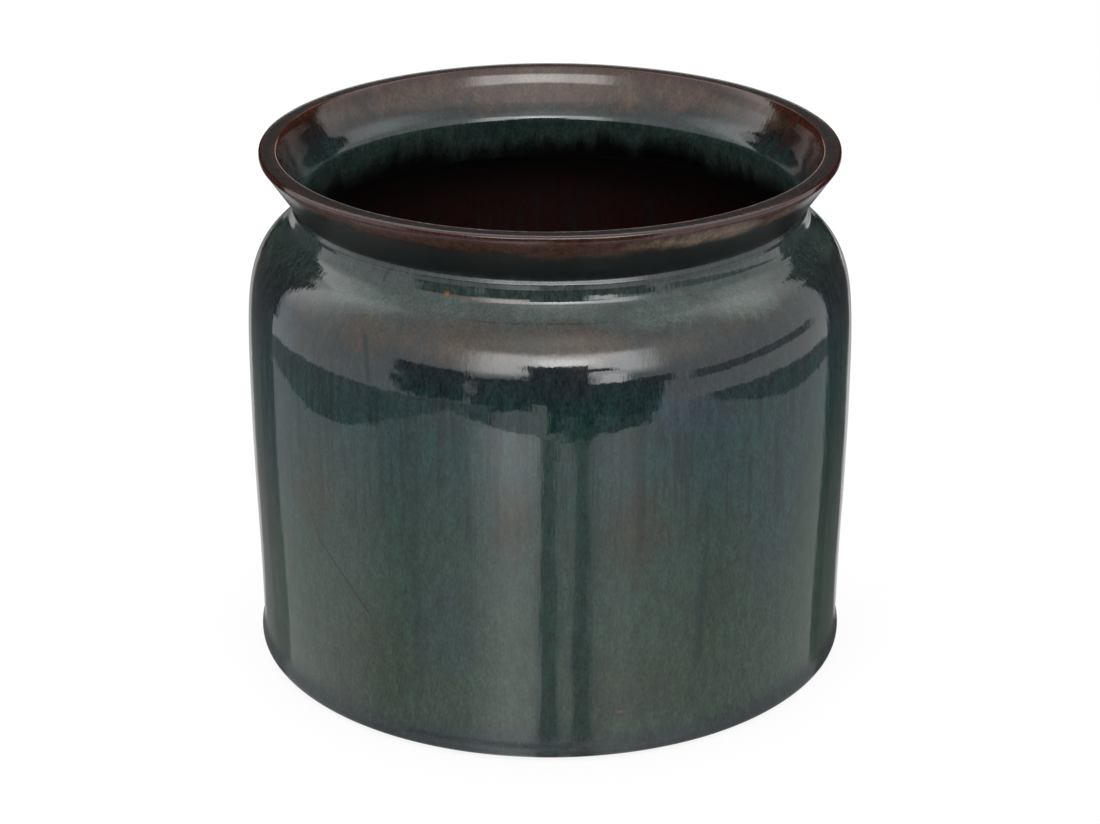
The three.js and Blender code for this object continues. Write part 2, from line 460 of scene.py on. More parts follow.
def stain_field(surface, tint, seed):
    """How strongly a tint colours the surface, from 0 to 1, with ragged edges."""
    ragged = 0.4 * surface.wander(9, 14, seed) + 0.3 * surface.wander(3, 7, seed + 1)
    field = np.zeros(len(surface.turn))
    near = (surface.along > MARKS[tint.first]) & (surface.along < MARKS[tint.last])
    for stain in tint.stains:
        across = np.radians(turn_between(stain.turn, surface.turn)) * BELLY_RADIUS / stain.across
        up = (surface.height - stain.height) / stain.up
        field = np.maximum(field, stain.strength * (1 - smooth_step(
            0.35, 1.25, np.hypot(across, up) + ragged)))
    return field * near


def raise_by(pot, field, height):
    """Moves the surface out by up to a height in millimetres, by a field from 0 to 1."""
    group = pot.vertex_groups.new(name="weight")
    for i in np.flatnonzero(field > FIELD_LEAST):
        group.add([int(i)], float(field[i]), "REPLACE")
    applied(pot, "DISPLACE", direction="NORMAL", mid_level=0, strength=height * MM,
            vertex_group="weight")
    pot.vertex_groups.clear()


def shape_glaze(pot):
    """Gives the turned body its slight unevenness, its throwing lines and its glaze runs, and
    keeps where the runs and stains are for the glaze's material."""
    surface = Surface(pot)
    outside, runs = surface.outside(), run_field(surface)
    uneven = 0.5 + 0.35 * surface.wander(52, 60, 1) + 0.15 * surface.wander(17, 30, 4)
    lines = 0.5 + 0.5 * surface.wander(400, 4.5, 2)
    rivulets = 0.5 + 0.5 * surface.wander(4.2, 60, 3)
    raise_by(pot, uneven, -UNEVENNESS)
    raise_by(pot, lines * outside, -THROWING_LINE)
    raise_by(pot, rivulets * outside, -RIVULET)
    raise_by(pot, runs, RUN_RELIEF)
    fields = {"runs": runs}
    for i, (name, tint) in enumerate(TINTS.items()):
        fields[name] = stain_field(surface, tint, 5 + 2 * i)
    for name, field in fields.items():
        pot.data.attributes.new(name, "FLOAT", "POINT").data.foreach_set("value", field)


# ---- Node helpers -------------------------------------------------------------------------

def fill(tree, socket, given):
    """Gives a socket a value, or links another output to it."""
    if isinstance(given, bpy.types.NodeSocket):
        tree.links.new(given, socket)
    else:
        socket.default_value = given


def put(tree, kind, sockets=(), **settings):
    """Adds a node, sets its options, and fills its sockets with values or other outputs."""
    node = tree.nodes.new(kind)
    for option, choice in settings.items():
        setattr(node, option, choice)
    for name, given in dict(sockets).items():
        fill(tree, node.inputs[name], given)
    return node


def maths(tree, operation, first, second=0.0, clamp=False):
    return put(tree, "ShaderNodeMath", {0: first, 1: second},
               operation=operation, use_clamp=clamp).outputs[0]


def vectors(tree, operation, first, second):
    """The outputs of an operation on two vectors: 0 is a vector, and Value a number."""
    return put(tree, "ShaderNodeVectorMath", {0: first, 1: second}, operation=operation).outputs


def mapped(tree, value, low, high, start=0.0, end=1.0, way="LINEAR"):
    """Goes from start to end while a value goes from low to high, and no further."""
    return put(tree, "ShaderNodeMapRange", {
        "Value": value, "From Min": low, "From Max": high, "To Min": start, "To Max": end},
        interpolation_type=way).outputs[0]


def blend(tree, share, first, second):
    return put(tree, "ShaderNodeMix", {0: share, 6: first, 7: second}, data_type="RGBA").outputs[2]


def bump(tree, height, depth, **under):
    """A bump as deep as given in millimetres, over another one if that is given."""
    return put(tree, "ShaderNodeBump", {"Height": height, "Distance": depth * MM,
                                        "Strength": 1.0, **under}).outputs[0]


def fill_ramp(ramp, stops):
    """Fills a colour ramp with (position, colour) stops, in order."""
    ramp.elements.remove(ramp.elements[1])
    for i, (position, colour) in enumerate(stops):
        if i:
            ramp.elements.new(position)
        ramp.elements[i].position = position
        ramp.elements[i].color = (*colour, 1)


def blank_material(name):
    material = bpy.data.materials.new(name)
    material.use_nodes = True
    material.node_tree.nodes.clear()
    return material, material.node_tree


def show(tree, shader):
    """Makes a shader the material's surface."""
    put(tree, "ShaderNodeOutputMaterial", {"Surface": shader.outputs[0]})


# ---- Studio -------------------------------------------------------------------------------

CAMERA_PLACE = (0, -1.0454, 0.5414)
CAMERA_DIP = 0.40196          # how far it looks down, in radians
CAMERA_LENS = 87.84
CAMERA_FILM = 36

TABLE_LEFT, TABLE_RIGHT = -0.425, 0.472
TABLE_FRONT, TABLE_BACK = -0.5, 1.6
TABLE_TURN = math.radians(6.5)
TABLE_WHITE = 0.78            # share of plain white where the camera sees the table
TABLE_WHITE_LIGHT = 1.12      # and how bright that white is
TABLE_FAN_CENTRE = -0.0625    # where on the Y axis the lines that the wall mirrors meet
# How bright the glaze mirrors the table, by degrees right of the front: painted light and shade on
# the table, with painted shade at the sides of and behind the pot, and two darker dips in front
TABLE_MIRRORED = (
    (-180, 0.12), (-165, 0.16), (-145, 0.7), (-120, 0.56), (-105, 0.66), (-85, 0.84),
    (-72, 0.84), (-57, 0.58), (-42, 0.74), (-30, 0.92), (-22, 1.45), (-15, 1.85), (-9, 1.7),
    (-5.8, 1.5), (-4.6, 0.6), (3.2, 0.52), (4.4, 1.1), (7, 1.0), (8, 0.54), (15.2, 0.52),
    (16.6, 0.9), (21, 1.1), (27, 1.2), (34, 0.98), (48, 0.84), (60, 0.62), (80, 0.66),
    (115, 0.56), (145, 0.7), (165, 0.16), (180, 0.12),
)
TABLE_BRIGHTEST = 2.0         # a ramp's colours stop at 1, so they are shares of this
# Far out, the table gets a painted patch of light, and close to the pot a painted shadow.
TABLE_POOL = (0.33, 0.43)     # this far out, the parts over a level get brighter by a share
TABLE_POOL_LEVEL = 0.9
TABLE_POOL_GAIN = 0.8
TABLE_SHADOW_REACH = (0.124, 0.142)   # and this close to the pot, the table is darker
TABLE_SHADOW_DARK = 0.8

CARD_EYE = Vector((0, -0.115, 0.16))          # the front of the shoulder
CARD_FACET = 12               # degrees that one facet of a card spans
CARD_THREADS = (34, 34, 9)    # how fine the frayed edges are
# Dark cards: brightness, how far in from its edges each is frayed, turns, rises and distance
DARK_CARDS = {
    "front_gap": (0.02, 0.09, (-11, 17), (-14, 20), 0.95),
    "front_gap_low": (0.02, 0.09, (-4, 42), (-21, -6), 0.95),
    "front_bar": (0.02, 0.09, (13, 26), (10, 14), 0.95),
    "left_gap": (0.02, 0.12, (-62, -29), (-15, 9), 1.0),
    "left_gap_pale": (0.06, 0.09, (-31, -6), (-16, 4), 1.0),
    "right_gap": (0.05, 0.09, (10, 45), (-17, 0), 1.0),
    "right_gap_top": (0.05, 0.12, (30, 48), (-5, 0.5), 1.0),
    "right_side": (0.25, 0.09, (50, 116), (-6.5, -1), 1.1),
    "under_left": (0.26, 0.05, (-132, -54), (-26, -13), 0.95),
    "under_left_front": (0.36, 0.05, (-60, -20), (-24, -13), 0.95),
    "under_right_front": (0.2, 0.05, (3, 42), (-28, -13.5), 0.95),
    "under_right": (0.2, 0.05, (60, 132), (-26, -13.5), 0.95),
    "back_dark": (0.06, 0.02, (165, 195), (13, 27), 1.5),
    "back_left": (0.0, 0.01, (193, 240), (-9, 42), 1.6),
    "back_right": (0.0, 0.01, (127, 167), (-9, 42), 1.6),
}
# Lights: brightness, turns, rises, fades across and up
LIGHTS = {
    "front_light": (4.4, (-38, 48), (3, 38), 0.22, 0.26),
    "front_light_hot": (4.8, (-12, 24), (11, 31), 0.4, 0.4),
    "front_light_gap": (4.5, (15, 31), (-6, 9), 0.3, 0.3),
    "front_halo": (1.0, (-80, 95), (0, 60), 0.5, 0.5),
    "high_light": (0.85, (-46, 60), (38, 74), 0.5, 0.5),
    "left_strip": (1.6, (-158, -84), (0, 88), 0.5, 0.4),
    "right_strip": (1.3, (80, 154), (22, 88), 0.5, 0.4),
}
LIGHT_DISTANCE = 2.0

FLAG_NEAR = (0.17, -0.013)    # the upright edges of the black flags beside the pot
FLAG_FAR = (0.198, 0.161)
FLAG_FOOT_NEAR = (0.112, -0.058)
FLAG_FOOT_FAR = (0.122, -0.016)
FLAG_HEIGHT = 0.212
FLAG_CLEAR = 0.001            # over the table
FLAG_DARK = 0.01
FLAG_GLOW = {"left": 0.26, "right": 0.14}     # stray light at the foot, fading out upwards
FLAG_GLOW_HEIGHT = 0.2


def make_camera():
    camera = bpy.data.objects.new("camera", bpy.data.cameras.new("camera"))
    bpy.context.collection.objects.link(camera)
    camera.location = CAMERA_PLACE
    camera.rotation_euler = (math.pi / 2 - CAMERA_DIP, 0, 0)
    camera.data.lens = CAMERA_LENS
    camera.data.sensor_width = CAMERA_FILM
    bpy.context.scene.camera = camera


def make_world():
    """White all round."""
    world = bpy.data.worlds.new("white_tent")
    world.use_nodes = True
    tree = world.node_tree
    tree.nodes.clear()
    white = put(tree, "ShaderNodeBackground", {"Color": (1, 1, 1, 1), "Strength": 1.0})
    put(tree, "ShaderNodeOutputWorld", {"Surface": white.outputs[0]})
    bpy.context.scene.world = world


def only_mirrored(card):
    """A card that the glaze mirrors, and that neither the camera nor a shadow shows."""
    card.visible_camera = False
    card.visible_diffuse = False
    card.visible_shadow = False
    card.visible_transmission = False


def stage_grid(name, rows, material):
    """A stage piece through a grid of places, given as two rows."""
    bpy.ops.object.select_all(action="DESELECT")
    bpy.ops.mesh.primitive_grid_add(x_subdivisions=len(rows[0]) - 1, y_subdivisions=1, size=1)
    card = bpy.context.object
    card.name = card.data.name = name
    for vertex, place in zip(card.data.vertices, rows[0] + rows[1]):
        vertex.co = place
    card.data.materials.append(material)
    return card


def hang_card(name, material, turns, rises, distance):
    """A card bent round the pot, across a range of turns (degrees right of the front) and
    rises (above level), as the front of the shoulder sees it."""
    steps = max(1, round((turns[1] - turns[0]) / CARD_FACET))
    rows = []
    for rise in map(math.radians, rises):
        row = []
        for step in range(steps + 1):
            turn = math.radians(turns[0] + (turns[1] - turns[0]) * step / steps)
            row.append(CARD_EYE + distance * Vector((
                math.sin(turn) * math.cos(rise), -math.cos(turn) * math.cos(rise),
                math.sin(rise))))
        rows.append(row)
    only_mirrored(stage_grid(name, rows, material))


def card_sides(tree):
    """How far a place is from the middle of a card, across and up, each from 0 to 0.5."""
    uv = put(tree, "ShaderNodeTexCoord").outputs["UV"]
    sides = put(tree, "ShaderNodeSeparateXYZ", {0: uv}).outputs
    return [maths(tree, "ABSOLUTE", maths(tree, "SUBTRACT", sides[axis], 0.5)) for axis in "XY"]


def glow_material(name, brightness, *fades):
    """An even light that fades out towards its edges, by shares of its width and height."""
    material, tree = blank_material(name)
    shares = [mapped(tree, off, 0.5, 0.5 - fade, way="SMOOTHSTEP")
              for off, fade in zip(card_sides(tree), fades)]
    strength = maths(tree, "MULTIPLY", maths(tree, "MULTIPLY", *shares), brightness)
    light = put(tree, "ShaderNodeEmission", {"Strength": strength})
    clear = put(tree, "ShaderNodeBsdfTransparent")
    show(tree, put(tree, "ShaderNodeAddShader", {0: light.outputs[0], 1: clear.outputs[0]}))
    return material


def dark_material(name, brightness, fray):
    """A dark card with frayed edges."""
    material, tree = blank_material(name)
    place = put(tree, "ShaderNodeTexCoord").outputs["Object"]
    inside = maths(tree, "SUBTRACT", 0.5, maths(tree, "MAXIMUM", *card_sides(tree)))
    drawn = vectors(tree, "MULTIPLY", place, CARD_THREADS)[0]
    threads = put(tree, "ShaderNodeTexNoise", {"Vector": drawn, "Scale": 1.0, "Detail": 3.0})
    torn = mapped(tree, threads.outputs["Fac"], 0.35, 0.65, end=fray)
    cover = mapped(tree, maths(tree, "SUBTRACT", inside, torn), 0.0, 0.03)
    dark = put(tree, "ShaderNodeEmission", {"Strength": brightness})
    clear = put(tree, "ShaderNodeBsdfTransparent")
    show(tree, put(tree, "ShaderNodeMixShader", {0: cover, 1: clear.outputs[0],
                                                 2: dark.outputs[0]}))
    return material


def flag_material(name, stray):
    """Black cloth, with a little stray light at its foot."""
    material, tree = blank_material(name)
    place = put(tree, "ShaderNodeTexCoord").outputs["Object"]
    height = put(tree, "ShaderNodeSeparateXYZ", {0: place}).outputs["Z"]
    glow = mapped(tree, height, 0.0, FLAG_GLOW_HEIGHT, stray, FLAG_DARK)
    show(tree, put(tree, "ShaderNodeEmission", {"Strength": glow}))
    return material


def mirrored_table(tree, place):
    """How bright the glaze mirrors the table, as painted light and shade: painted shade at the
    sides of the pot, a painted shadow close to its foot, and a painted patch of light where the
    front light shines on it."""
    sides = put(tree, "ShaderNodeSeparateXYZ", {0: place}).outputs
    turn = maths(tree, "ARCTAN2", sides["X"],
                 maths(tree, "SUBTRACT", TABLE_FAN_CENTRE, sides["Y"]))
    ramp = put(tree, "ShaderNodeValToRGB", {"Fac": mapped(tree, turn, -math.pi, math.pi)})
    fill_ramp(ramp.color_ramp, [((degrees + 180) / 360, (brightness / TABLE_BRIGHTEST,) * 3)
                                for degrees, brightness in TABLE_MIRRORED])
    fan = maths(tree, "MULTIPLY", ramp.outputs["Color"], TABLE_BRIGHTEST)
    away = put(tree, "ShaderNodeVectorMath", {0: place}, operation="LENGTH").outputs["Value"]
    far = mapped(tree, away, *TABLE_POOL, end=TABLE_POOL_GAIN)
    near = mapped(tree, away, *TABLE_SHADOW_REACH, TABLE_SHADOW_DARK, 1.0)
    light_pool = maths(tree, "MAXIMUM", maths(tree, "SUBTRACT", fan, TABLE_POOL_LEVEL), 0.0)
    return maths(tree, "MULTIPLY", maths(tree, "ADD", fan, maths(tree, "MULTIPLY", light_pool, far)),
                 near)


def table_material():
    """White. It shows as the white background and keeps the shadow."""
    material, tree = blank_material("white_table")
    rays = put(tree, "ShaderNodeLightPath").outputs
    place = put(tree, "ShaderNodeTexCoord").outputs["Object"]
    mirrored = put(tree, "ShaderNodeEmission", {"Strength": mirrored_table(tree, place)})
    matt = put(tree, "ShaderNodeBsdfPrincipled", {"Base Color": (0.8, 0.8, 0.8, 1),
                                                  "Roughness": 0.5})
    white = put(tree, "ShaderNodeEmission", {"Color": (1, 1, 1, 1),
                                             "Strength": TABLE_WHITE_LIGHT})
    seen = maths(tree, "MAXIMUM", rays["Is Camera Ray"], rays["Is Transmission Ray"])
    shown = put(tree, "ShaderNodeMixShader", {0: maths(tree, "MULTIPLY", seen, TABLE_WHITE),
                                              1: matt.outputs[0], 2: white.outputs[0]})
    show(tree, put(tree, "ShaderNodeMixShader", {0: rays["Is Glossy Ray"], 1: shown.outputs[0],
                                                 2: mirrored.outputs[0]}))
    return material


def make_table():
    rows = [[(x * math.cos(TABLE_TURN) - y * math.sin(TABLE_TURN),
              x * math.sin(TABLE_TURN) + y * math.cos(TABLE_TURN), 0)
             for x in (TABLE_LEFT, TABLE_RIGHT)] for y in (TABLE_FRONT, TABLE_BACK)]
    stage_grid("table", rows, table_material())


def make_flags():
    """Two upright black flags beside the pot, each with a piece on the table at its foot."""
    for side, word in ((-1, "left"), (1, "right")):
        black = flag_material(f"{word}_black_flag", FLAG_GLOW[word])
        top, floor, foot = ([(side * x, y, height) for x, y in edges] for edges, height in (
            ((FLAG_NEAR, FLAG_FAR), FLAG_HEIGHT), ((FLAG_NEAR, FLAG_FAR), FLAG_CLEAR),
            ((FLAG_FOOT_NEAR, FLAG_FOOT_FAR), FLAG_CLEAR)))
        only_mirrored(stage_grid(f"{word}_flag", [floor, top], black))
        only_mirrored(stage_grid(f"{word}_flag_foot", [foot, floor], black))


def make_studio():
    make_table()
    for name, (brightness, fray, *place) in DARK_CARDS.items():
        hang_card(name, dark_material(name, brightness, fray), *place)
    for name, (brightness, turns, rises, *fades) in LIGHTS.items():
        hang_card(name, glow_material(name, brightness, *fades), turns, rises, LIGHT_DISTANCE)
    make_flags()


# ---- Effects that the finishes share ------------------------------------------------------

def effect(name, places, values, outputs):
    """A node group with named inputs and outputs: places are vectors, and values have a usual
    setting. Gives the group, its tree's input sockets and its output node."""
    group = bpy.data.node_groups.new(name, "ShaderNodeTree")
    for title in places:
        group.interface.new_socket(title, in_out="INPUT", socket_type="NodeSocketVector")
    for title, usual in values.items():
        socket = group.interface.new_socket(title, in_out="INPUT", socket_type="NodeSocketFloat")
        socket.default_value = usual
    for title in outputs:
        group.interface.new_socket(title, in_out="OUTPUT", socket_type="NodeSocketFloat")
    return group, group.nodes.new("NodeGroupInput").outputs, group.nodes.new("NodeGroupOutput")


def use(tree, group, **sockets):
    """Places an effect in a material with its own values."""
    node = tree.nodes.new("ShaderNodeGroup")
    node.node_tree = group
    for name, given in sockets.items():
        fill(tree, node.inputs[name], given)
    return node.outputs


def streaks_effect():
    """Noise drawn out upright: Streak is 0 to 1 between its low and high cut."""
    group, given, out = effect("upright_streaks", ("Place",), {
        "Width": 0.005, "Length": 0.06, "Shift": 0.0, "Low": 0.4, "High": 0.6}, ("Streak",))
    across = maths(group, "DIVIDE", 1.0, given["Width"])
    up = maths(group, "DIVIDE", 1.0, given["Length"])
    scale = put(group, "ShaderNodeCombineXYZ", {0: across, 1: across, 2: up}).outputs[0]
    drawn = vectors(group, "MULTIPLY", given["Place"], scale)[0]
    shifted = vectors(group, "ADD", drawn, given["Shift"])[0]
    threads = put(group, "ShaderNodeTexNoise", {"Vector": shifted, "Scale": 1.0, "Detail": 3.0,
                                                "Roughness": 0.55}).outputs["Fac"]
    cut = mapped(group, threads, given["Low"], given["High"], way="SMOOTHSTEP")
    group.links.new(cut, out.inputs["Streak"])
    return group


def grain_effect():
    """Fine speckle: Shade multiplies a colour, and Height is for a bump."""
    group, given, out = effect("fine_grain", ("Place",), {"Size": 0.001, "Depth": 0.3},
                               ("Shade", "Height"))
    scale = maths(group, "DIVIDE", 1.0, given["Size"])
    grain = put(group, "ShaderNodeTexNoise", {"Vector": given["Place"], "Scale": scale,
                                              "Detail": 2.0, "Roughness": 0.6}).outputs["Fac"]
    spread = maths(group, "MULTIPLY", maths(group, "SUBTRACT", grain, 0.5), given["Depth"])
    shade = maths(group, "ADD", maths(group, "MULTIPLY", spread, 4.0), 1.0)
    group.links.new(maths(group, "MAXIMUM", shade, 0.1), out.inputs["Shade"])
    group.links.new(grain, out.inputs["Height"])
    return group


def mark_effect():
    """A fine mark between two places on the unrolled surface: Mark is 1 on it."""
    group, given, out = effect("fine_mark", ("Place", "Start", "End"), {"Width": 0.001},
                               ("Mark",))
    run = vectors(group, "SUBTRACT", given["End"], given["Start"])[0]
    reach = vectors(group, "SUBTRACT", given["Place"], given["Start"])[0]
    length = maths(group, "MAXIMUM", vectors(group, "DOT_PRODUCT", run, run)["Value"], 1e-9)
    share = maths(group, "DIVIDE", vectors(group, "DOT_PRODUCT", reach, run)["Value"], length,
                  clamp=True)
    nearest = put(group, "ShaderNodeVectorMath", {0: run, "Scale": share},
                  operation="SCALE").outputs[0]
    off = vectors(group, "DISTANCE", reach, nearest)["Value"]
    mark = mapped(group, off, given["Width"], maths(group, "MULTIPLY", given["Width"], 0.4))
    group.links.new(mark, out.inputs["Mark"])
    return group


# ---- Glaze --------------------------------------------------------------------------------

# The glaze's colour along the outline: a named place, millimetres past it, and the colour
GLAZE_ZONES = (
    ("foot", 0, (0.016, 0.028, 0.03)),
    ("foot", 8, (0.02, 0.032, 0.034)),
    ("foot", 11, (0.024, 0.05, 0.034)),
    ("foot", 40, (0.02, 0.047, 0.031)),
    ("foot", 100, (0.015, 0.04, 0.032)),
    ("foot", 130, (0.011, 0.038, 0.039)),
    ("collar_foot", -42, (0.016, 0.032, 0.034)),
    ("collar_foot", -30, (0.016, 0.022, 0.026)),
    ("collar_foot", -18, (0.022, 0.028, 0.028)),
    ("collar_foot", -9, (0.032, 0.046, 0.042)),
    ("collar_foot", 0, (0.034, 0.054, 0.05)),
    ("collar_top", 0, (0.03, 0.046, 0.044)),
    ("bead", 1, (0.026, 0.036, 0.036)),
    ("waist", 1, (0.005, 0.007, 0.007)),
    ("lip", -9, (0.004, 0.006, 0.006)),
    ("lip", -6, (0.008, 0.005, 0.003)),
    ("lip", -3, (0.05, 0.024, 0.015)),
    ("lip", 0, (0.034, 0.012, 0.008)),
    ("land_outer", 0, (0.05, 0.014, 0.010)),
    ("land_outer", 2.5, (0.02, 0.018, 0.017)),
    ("land_inner", -2, (0.02, 0.018, 0.016)),
    ("land_inner", 0.5, (0.07, 0.02, 0.012)),
    ("land_inner", 3, (0.04, 0.018, 0.012)),
    ("land_inner", 8, (0.03, 0.02, 0.017)),
    ("land_inner", 17, (0.02, 0.026, 0.028)),
    ("throat", -2, (0.02, 0.04, 0.038)),
    ("throat", 5, (0.034, 0.06, 0.052)),
    ("throat", 11, (0.014, 0.022, 0.019)),
    ("throat", 17, (0.002, 0.002, 0.002)),
    ("throat", 60, (0.02, 0.001, 0.001)),
)
# How far the edges between those colours wander, in millimetres
GLAZE_WANDER = (
    ("foot", 0, 2.0), ("foot", 20, 12.0), ("collar_foot", -24, 12.0), ("collar_foot", -6, 3.0),
    ("collar_top", 0, 0.5), ("lip", -10, 6.0), ("lip", 0, 1.0), ("land_inner", 0, 1.2),
    ("land_inner", 7, 9.0), ("throat", 0, 6.0), ("throat", 12, 10.0),
)
WANDER_MOST = 20              # a ramp's colours stop at 1, so they are shares of this
# How rough the glaze is along the outline
GLAZE_ROUGHNESS = (
    ("foot", 0, 0.3), ("foot", 9, 0.24), ("foot", 14, 0.05), ("foot", 30, 0.035),
    ("collar_foot", -36, 0.035), ("collar_foot", -22, 0.06), ("collar_top", 0, 0.05),
    ("bead", 1, 0.16), ("waist", 2, 0.4), ("lip", -10, 0.4), ("lip", -4, 0.16),
    ("land_outer", 0, 0.1), ("land_inner", 3, 0.1), ("land_inner", 9, 0.09),
    ("throat", -2, 0.07), ("throat", 14, 0.12), ("throat", 20, 0.5),
)
IRON_ROUGHNESS = 0.09         # more where iron browns it
# Fine marks in the glaze: colour, width in millimetres, and the (turn, height) places that the
# mark joins
FINE_MARKS = (
    ((0.002, 0.004, 0.004), 0.6, ((-49.4, 88), (-46.8, 77.4), (-40.5, 65.3), (-35.2, 53.7))),
    ((0.26, 0.09, 0.01), 1.1, ((-21.6, 186.6), (-21.3, 186.5))),
    ((0.08, 0.04, 0.016), 0.5, ((-21.2, 185.9), (-11.5, 185.6), (-4.2, 186.3))),
    ((0.005, 0.012, 0.014), 1.5, ((-35.7, 169), (-34.7, 163.6), (-33.8, 153.3))),
    ((0.006, 0.014, 0.014), 1.1, ((-34.4, 192.4), (-36.0, 190.6), (-36.8, 186.8))),
    ((0.05, 0.03, 0.02), 0.9, ((49.9, 125.4), (50.0, 125.2))),
    ((0.09, 0.05, 0.03), 0.8, ((12.5, 19.5), (13.2, 19.5))),
    ((0.006, 0.012, 0.012), 0.8, ((118, 82), (121, 68), (119, 60))),
    ((0.26, 0.09, 0.01), 1.1, ((205, 176), (205.3, 176))),
    ((0.05, 0.03, 0.02), 0.9, ((262, 118), (262.3, 117.6))),
)
DRIP_COLOUR = (0.004, 0.014, 0.015, 1)
DRIP_BAND = (0.092, 0.152)    # heights that the thin dark drips lie between
DRIP_BAND_EDGE = 0.016
DRIP_STRENGTH = 0.6
RUN_COLOUR = (0.007, 0.028, 0.023, 1)
RUN_STRENGTH = 0.85
SKIN_DEPTH = 0.02             # bumps in the glaze, in millimetres
COMBED_DEPTH = 0.014
GLAZE_IOR = 1.55


def outline_ramp(tree, along, stops):
    """A colour for each place along the outline."""
    first, last = MARKS["foot"], MARKS["well_floor"]
    ramp = put(tree, "ShaderNodeValToRGB", {"Fac": mapped(tree, along, first * MM, last * MM)})
    fill_ramp(ramp.color_ramp, [((MARKS[mark] + past - first) / (last - first), colour)
                                for mark, past, colour in stops])
    return ramp.outputs["Color"]


def value_ramp(tree, along, stops, most=1.0):
    """A value for each place along the outline, of at most the given one."""
    shares = [(mark, past, (value / most,) * 3) for mark, past, value in stops]
    return outline_ramp(tree, along, shares)


def zoned_colour(tree, along, drips, sway):
    """The glaze's colour in its zones, with wandering edges between them."""
    wander = maths(tree, "SUBTRACT", maths(tree, "ADD", maths(tree, "MULTIPLY", drips, 0.7),
                                           maths(tree, "MULTIPLY", sway, 1.3)), 1.0)
    reach = maths(tree, "MULTIPLY", value_ramp(tree, along, GLAZE_WANDER, WANDER_MOST),
                  WANDER_MOST * MM)
    shifted = maths(tree, "ADD", along, maths(tree, "MULTIPLY", wander, reach))
    return outline_ramp(tree, shifted, GLAZE_ZONES)


def add_drips(tree, colour, streaks, place, height):
    """Draws thin dark drips under the shoulder over a colour."""
    thin = use(tree, streaks, Place=place, Width=0.0032, Length=0.055, Shift=31.0,
               Low=0.5, High=0.62)["Streak"]
    low, high = DRIP_BAND
    rise = mapped(tree, height, low - DRIP_BAND_EDGE, low + DRIP_BAND_EDGE, way="SMOOTHSTEP")
    fall = mapped(tree, height, high + DRIP_BAND_EDGE, high - DRIP_BAND_EDGE, way="SMOOTHSTEP")
    under = maths(tree, "MULTIPLY", rise, fall)
    share = maths(tree, "MULTIPLY", maths(tree, "MULTIPLY", thin, under), DRIP_STRENGTH)
    return blend(tree, share, colour, DRIP_COLOUR)


def add_runs(tree, colour, runs, drips):
    """Darkens a colour in the runs, which are frayed at their edges."""
    frayed = maths(tree, "ADD", runs, maths(tree, "MULTIPLY", maths(
        tree, "SUBTRACT", drips, 0.5), 0.4))
    in_run = mapped(tree, frayed, 0.12, 0.5)
    return blend(tree, maths(tree, "MULTIPLY", in_run, RUN_STRENGTH), colour, RUN_COLOUR)


def add_speckle(tree, colour, grain, place):
    """Speckles a colour, drawn out a little down the wall."""
    drawn = vectors(tree, "MULTIPLY", place, (1, 1, 0.45))[0]
    for size, depth in ((0.0009, 0.5), (0.0034, 0.3)):
        speckle = use(tree, grain, Place=drawn, Size=size, Depth=depth)
        colour = vectors(tree, "MULTIPLY", colour, speckle["Shade"])[0]
    return colour


def add_marks(tree, colour, marks, place, height, along):
    """Draws the glaze's fine marks over a colour."""
    sides = put(tree, "ShaderNodeSeparateXYZ", {0: place}).outputs
    turn = maths(tree, "ARCTAN2", sides["X"], maths(tree, "MULTIPLY", sides["Y"], -1.0))
    unrolled = put(tree, "ShaderNodeCombineXYZ", {
        0: maths(tree, "MULTIPLY", turn, BELLY_RADIUS * MM), 1: height}).outputs[0]
    outer = maths(tree, "LESS_THAN", along, MARKS["land_outer"] * MM)
    for shade, width, stations in FINE_MARKS:
        spots = [(math.radians(degrees) * BELLY_RADIUS * MM, (up + STAND_OFF) * MM, 0)
                 for degrees, up in stations]
        for start, end in zip(spots, spots[1:]):
            mark = use(tree, marks, Place=unrolled, Start=start, End=end, Width=width * MM)
            colour = blend(tree, maths(tree, "MULTIPLY", mark["Mark"], outer), colour,
                           (*shade, 1))
    return colour


def glaze_material(name, streaks, grain, marks, sheen_level):
    """Dark reactive glaze that breaks to iron brown on the edges."""
    material, tree = blank_material(name)
    place = put(tree, "ShaderNodeTexCoord").outputs["Object"]
    height = put(tree, "ShaderNodeSeparateXYZ", {0: place}).outputs["Z"]
    field = {each: put(tree, "ShaderNodeAttribute", attribute_name=each).outputs["Fac"]
             for each in ("along", "runs", *TINTS)}
    drips = use(tree, streaks, Place=place, Width=0.006, Length=0.05, Shift=3.0,
                Low=0.2, High=0.8)["Streak"]
    sway = use(tree, streaks, Place=place, Width=0.04, Length=0.04, Shift=41.0,
               Low=0.2, High=0.8)["Streak"]

    colour = zoned_colour(tree, field["along"], drips, sway)
    for each, tint in TINTS.items():
        colour = blend(tree, field[each], colour, (*tint.colour, 1))
    colour = add_drips(tree, colour, streaks, place, height)
    colour = add_runs(tree, colour, field["runs"], drips)
    colour = add_speckle(tree, colour, grain, place)
    colour = add_marks(tree, colour, marks, place, height, field["along"])

    iron = maths(tree, "ADD", field["brown"], field["tan"])
    dull = maths(tree, "ADD", value_ramp(tree, field["along"], GLAZE_ROUGHNESS), maths(
        tree, "MULTIPLY", iron, maths(tree, "MULTIPLY", sway, IRON_ROUGHNESS)))

    skin = put(tree, "ShaderNodeTexNoise", {"Vector": place, "Scale": 260.0, "Detail": 2.0})
    combed = use(tree, streaks, Place=place, Width=0.0018, Length=0.03, Shift=57.0,
                 Low=0.3, High=0.7)["Streak"]
    uneven = bump(tree, combed, COMBED_DEPTH,
                  Normal=bump(tree, skin.outputs["Fac"], SKIN_DEPTH))
    show(tree, put(tree, "ShaderNodeBsdfPrincipled", {
        "Base Color": colour, "Roughness": dull, "IOR": GLAZE_IOR,
        "Specular IOR Level": sheen_level, "Normal": uneven}))
    return material


# ---- Clay and felt ------------------------------------------------------------------------

